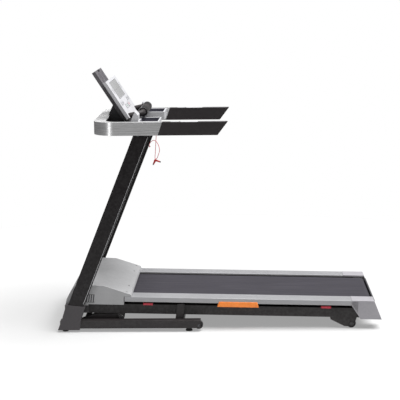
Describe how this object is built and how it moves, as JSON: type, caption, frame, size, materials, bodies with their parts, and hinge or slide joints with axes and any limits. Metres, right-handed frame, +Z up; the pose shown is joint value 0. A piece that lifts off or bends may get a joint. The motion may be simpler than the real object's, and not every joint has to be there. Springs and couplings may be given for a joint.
{
  "type": "treadmill",
  "caption": "Folding treadmill with leaning uprights, wrap-round handrail, tilted console, tablet rest, powered incline and cushioned running deck.",
  "frame": {"origin": "on the floor, at mid length and on the centre plane", "axes": "+Z up, +X towards the rear end of the deck, where the user steps on, Y across; the console is at -X"},
  "size_m": [1.7, 0.8, 1.3495],
  "materials": {
    "frame_paint": "semi-matt black powder coat",
    "upright_paint": "satin black powder coat",
    "cover_plastic": "textured dark grey",
    "rubber": "matt black",
    "wheel_rubber": "hard black",
    "zinc": "zinc plated",
    "brushed_silver": "brushed along the band",
    "silver_plastic": "satin silver lacquer",
    "grip_rubber": "soft matt black",
    "key_grey": "satin",
    "dark_plastic": "fine grain",
    "shell_plastic": "fine grain",
    "display": "polished grey panel",
    "circuit_board": "solder mask",
    "chrome": "polished",
    "key_red": "satin",
    "cord_red": "braided",
    "strut_paint": "gloss black",
    "board_wood": "waxed fibreboard",
    "belt_fabric": "diamond grain",
    "rail_silver": "satin anodised with ribs",
    "cap_plastic": "silver grey lacquer",
    "hood_plastic": "silver grey lacquer",
    "heat_sink": "as extruded",
    "cushion_red": "cast elastomer",
    "cushion_orange": "cast elastomer"
  },
  "bodies": {
    "stand": {"base_frame": "frame_paint", "base_feet": "rubber", "base_cover_left": "cover_plastic", "base_cover_right": "cover_plastic", "upright_left": "upright_paint", "upright_right": "upright_paint", "base_fasteners": "zinc", "handrail_band": "brushed_silver", "grip_left": "grip_rubber", "grip_right": "grip_rubber", "console_base": "dark_plastic", "tray_left": "silver_plastic", "tray_right": "silver_plastic", "console_shell": "shell_plastic", "console_face": "silver_plastic", "display_lens": "display", "control_board": "circuit_board", "pulse_bar": "grip_rubber", "pulse_sensors": "chrome", "key_socket": "dark_plastic"},
    "deck": {"deck_frame": "frame_paint", "deck_board": "board_wood", "running_belt": "belt_fabric", "foot_rail_left": "rail_silver", "foot_rail_right": "rail_silver", "end_caps": "cap_plastic", "motor_hood": "hood_plastic", "hood_skirt": "cover_plastic", "drive_motor": "strut_paint", "drive_belt": "rubber", "motor_controller": "heat_sink", "cushions_red": "cushion_red", "cushions_orange": "cushion_orange", "deck_fasteners": "zinc", "power_inlet": "dark_plastic"},
    "safety_key": {"safety_key": "key_red", "safety_cord": "cord_red", "safety_clip": "key_red"},
    "transport_wheel_left": {"transport_wheel_left": "wheel_rubber"},
    "transport_wheel_right": {"transport_wheel_right": "wheel_rubber"},
    "quick_key_left": {"quick_key_left": "key_grey"},
    "quick_key_right": {"quick_key_right": "key_grey"},
    "start_key": {"start_key": "key_grey"},
    "stop_key": {"stop_key": "key_grey"},
    "speed_up_key": {"speed_up_key": "key_grey"},
    "speed_down_key": {"speed_down_key": "key_grey"},
    "incline_up_key": {"incline_up_key": "key_grey"},
    "incline_down_key": {"incline_down_key": "key_grey"},
    "power_switch": {"power_switch": "key_red"},
    "fold_shaft": {"fold_shaft": "zinc"},
    "lift_frame": {"lift_frame": "frame_paint"},
    "incline_motor": {"incline_motor": "dark_plastic"},
    "incline_screw": {"incline_screw": "zinc"},
    "gas_strut_cylinder": {"gas_strut_cylinder": "strut_paint"},
    "gas_strut_rod": {"gas_strut_rod": "chrome"},
    "motor_rotor": {"motor_rotor": "zinc"},
    "front_roller": {"front_roller": "zinc"},
    "rear_roller": {"rear_roller": "zinc"},
    "rear_wheel_left": {"rear_wheel_left": "wheel_rubber"},
    "rear_wheel_right": {"rear_wheel_right": "wheel_rubber"}
  },
  "joints": [
    {"name": "fold", "type": "hinge", "parent": "stand", "child": "fold_shaft", "pos_m": [-0.765, 0, 0.04], "axis": [0, -1, 0], "range_deg": [0, 50]},
    {"name": "lift_swing", "type": "hinge", "parent": "fold_shaft", "child": "lift_frame", "pos_m": [-0.765, 0, 0.04], "axis": [0, -1, 0], "range_deg": [0, 24.9]},
    {"name": "incline", "type": "hinge", "parent": "lift_frame", "child": "deck", "pos_m": [-0.521, 0, 0.067], "axis": [0, -1, 0], "range_deg": [-29.55, 0]},
    {"name": "actuator_swing", "type": "hinge", "parent": "deck", "child": "incline_motor", "pos_m": [-0.6, 0.12, 0.2], "axis": [0, -1, 0], "range_deg": [0, 19]},
    {"name": "actuator_stroke", "type": "slide", "parent": "incline_motor", "child": "incline_screw", "axis": [-0.6342, 0, -0.7732], "range_m": [0, 0.0705]},
    {"name": "strut_swing", "type": "hinge", "parent": "stand", "child": "gas_strut_cylinder", "pos_m": [-0.172, 0, 0.046], "axis": [0, -1, 0], "range_deg": [0, 83.91]},
    {"name": "strut_stroke", "type": "slide", "parent": "gas_strut_cylinder", "child": "gas_strut_rod", "axis": [1, 0, 0], "range_m": [0, 0.3464]},
    {"name": "front_roller_spin", "type": "hinge", "parent": "deck", "child": "front_roller", "pos_m": [-0.57571, 0, 0.14305], "axis": [0, -1, 0], "continuous": true},
    {"name": "rear_roller_spin", "type": "hinge", "parent": "deck", "child": "rear_roller", "pos_m": [0.78394, 0, 0.1122], "axis": [0, -1, 0], "continuous": true},
    {"name": "motor_spin", "type": "hinge", "parent": "deck", "child": "motor_rotor", "pos_m": [-0.71486, 0, 0.18222], "axis": [0, -1, 0], "continuous": true},
    {"name": "rear_wheel_left_spin", "type": "hinge", "parent": "deck", "child": "rear_wheel_left", "pos_m": [0.693, -0.313, 0.024], "axis": [0, -1, 0], "continuous": true},
    {"name": "rear_wheel_right_spin", "type": "hinge", "parent": "deck", "child": "rear_wheel_right", "pos_m": [0.693, 0.313, 0.024], "axis": [0, -1, 0], "continuous": true},
    {"name": "transport_wheel_left_spin", "type": "hinge", "parent": "stand", "child": "transport_wheel_left", "pos_m": [-0.11, -0.367, 0.033], "axis": [0, -1, 0], "continuous": true},
    {"name": "transport_wheel_right_spin", "type": "hinge", "parent": "stand", "child": "transport_wheel_right", "pos_m": [-0.11, 0.367, 0.033], "axis": [0, -1, 0], "continuous": true},
    {"name": "start_key_press", "type": "slide", "parent": "stand", "child": "start_key", "axis": [-0.8425, 0, -0.5388], "range_m": [0, 0.0015], "stiffness_N_per_m": 600},
    {"name": "stop_key_press", "type": "slide", "parent": "stand", "child": "stop_key", "axis": [-0.8425, 0, -0.5388], "range_m": [0, 0.0015], "stiffness_N_per_m": 600},
    {"name": "speed_up_key_press", "type": "slide", "parent": "stand", "child": "speed_up_key", "axis": [-0.8425, 0, -0.5388], "range_m": [0, 0.0015], "stiffness_N_per_m": 600},
    {"name": "speed_down_key_press", "type": "slide", "parent": "stand", "child": "speed_down_key", "axis": [-0.8425, 0, -0.5388], "range_m": [0, 0.0015], "stiffness_N_per_m": 600},
    {"name": "incline_up_key_press", "type": "slide", "parent": "stand", "child": "incline_up_key", "axis": [-0.8425, 0, -0.5388], "range_m": [0, 0.0015], "stiffness_N_per_m": 600},
    {"name": "incline_down_key_press", "type": "slide", "parent": "stand", "child": "incline_down_key", "axis": [-0.8425, 0, -0.5388], "range_m": [0, 0.0015], "stiffness_N_per_m": 600},
    {"name": "quick_key_left_press", "type": "slide", "parent": "stand", "child": "quick_key_left", "axis": [0, 0, -1], "range_m": [0, 0.0015], "stiffness_N_per_m": 600},
    {"name": "quick_key_right_press", "type": "slide", "parent": "stand", "child": "quick_key_right", "axis": [0, 0, -1], "range_m": [0, 0.0015], "stiffness_N_per_m": 600},
    {"name": "safety_key_pull", "type": "slide", "parent": "stand", "child": "safety_key", "axis": [1, 0, 0], "range_m": [0, 0.02]},
    {"name": "power_switch_rock", "type": "hinge", "parent": "deck", "child": "power_switch", "pos_m": [-0.79954, 0, 0.10912], "axis": [0, -1, 0], "range_deg": [-10, 10]}
  ],
  "couplings": [
    {"joint": "lift_swing", "follows": "incline", "ratio": -0.83926},
    {"joint": "actuator_swing", "follows": "incline", "ratio": -0.62944},
    {"joint": "actuator_stroke", "follows": "incline", "m_per_rad": -0.13417},
    {"joint": "strut_swing", "follows": "fold", "ratio": 1.678},
    {"joint": "strut_stroke", "follows": "fold", "m_per_rad": 0.39686},
    {"joint": "rear_roller_spin", "follows": "front_roller_spin", "ratio": 1},
    {"joint": "motor_spin", "follows": "front_roller_spin", "ratio": 2.7143}
  ]
}
